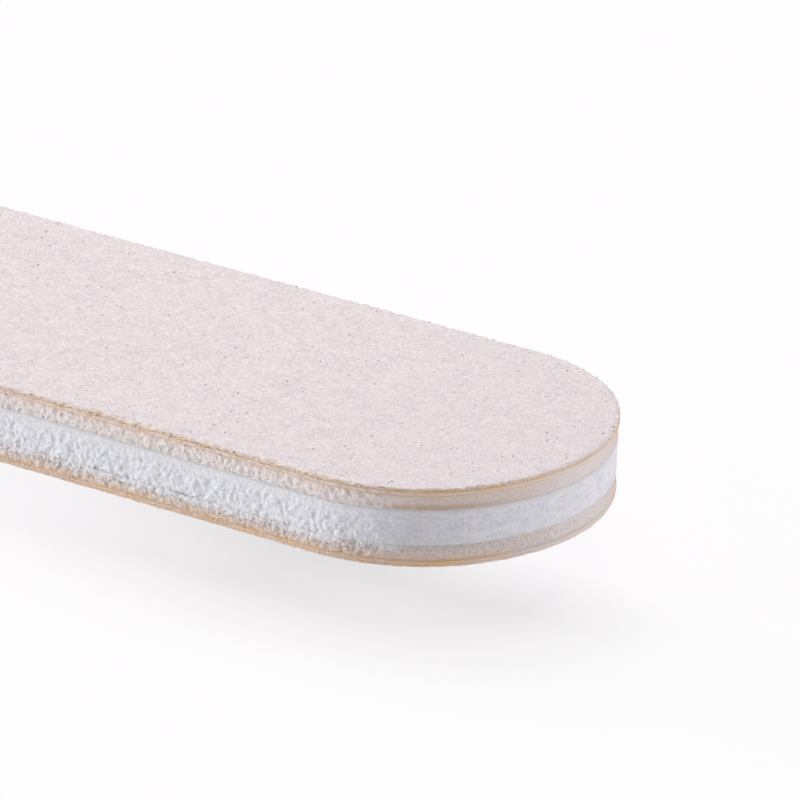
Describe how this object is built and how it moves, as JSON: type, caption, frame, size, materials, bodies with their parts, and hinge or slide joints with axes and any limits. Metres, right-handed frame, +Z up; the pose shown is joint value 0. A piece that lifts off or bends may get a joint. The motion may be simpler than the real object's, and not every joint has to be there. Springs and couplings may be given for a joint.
{
  "type": "emery board",
  "caption": "Flat straight-sided nail file with rounded tips: a foam core between foam pads, with abrasive sheets on both faces.",
  "frame": {"origin": "centre of the board's underside, on the surface that it lies on", "axes": "+X along the board's length, +Y across its width, +Z up through the laminate"},
  "size_m": [0.178, 0.02, 0.004],
  "materials": {
    "foam_core": "matte white closed-cell foam, rough where it is cut",
    "foam_pad": "matte beige closed-cell foam with open cells on its cut edge",
    "adhesive_film": "clear to yellowish pressure-sensitive film",
    "backing_paper": "amber latex-filled paper",
    "bonded_grit": "abrasive grains in amber resin",
    "anti_clog_coat": "pale pink-white powdery coat over the grit"
  },
  "bodies": {
    "root": {"core_board": "foam_core", "upper_inner_film": "adhesive_film", "upper_foam_pad": "foam_pad", "upper_outer_film": "adhesive_film", "upper_backing_paper": "backing_paper", "upper_grit": "bonded_grit", "upper_anti_clog_coat": "anti_clog_coat", "lower_inner_film": "adhesive_film", "lower_foam_pad": "foam_pad", "lower_outer_film": "adhesive_film", "lower_backing_paper": "backing_paper", "lower_grit": "bonded_grit", "lower_anti_clog_coat": "anti_clog_coat"}
  },
  "joints": []
}
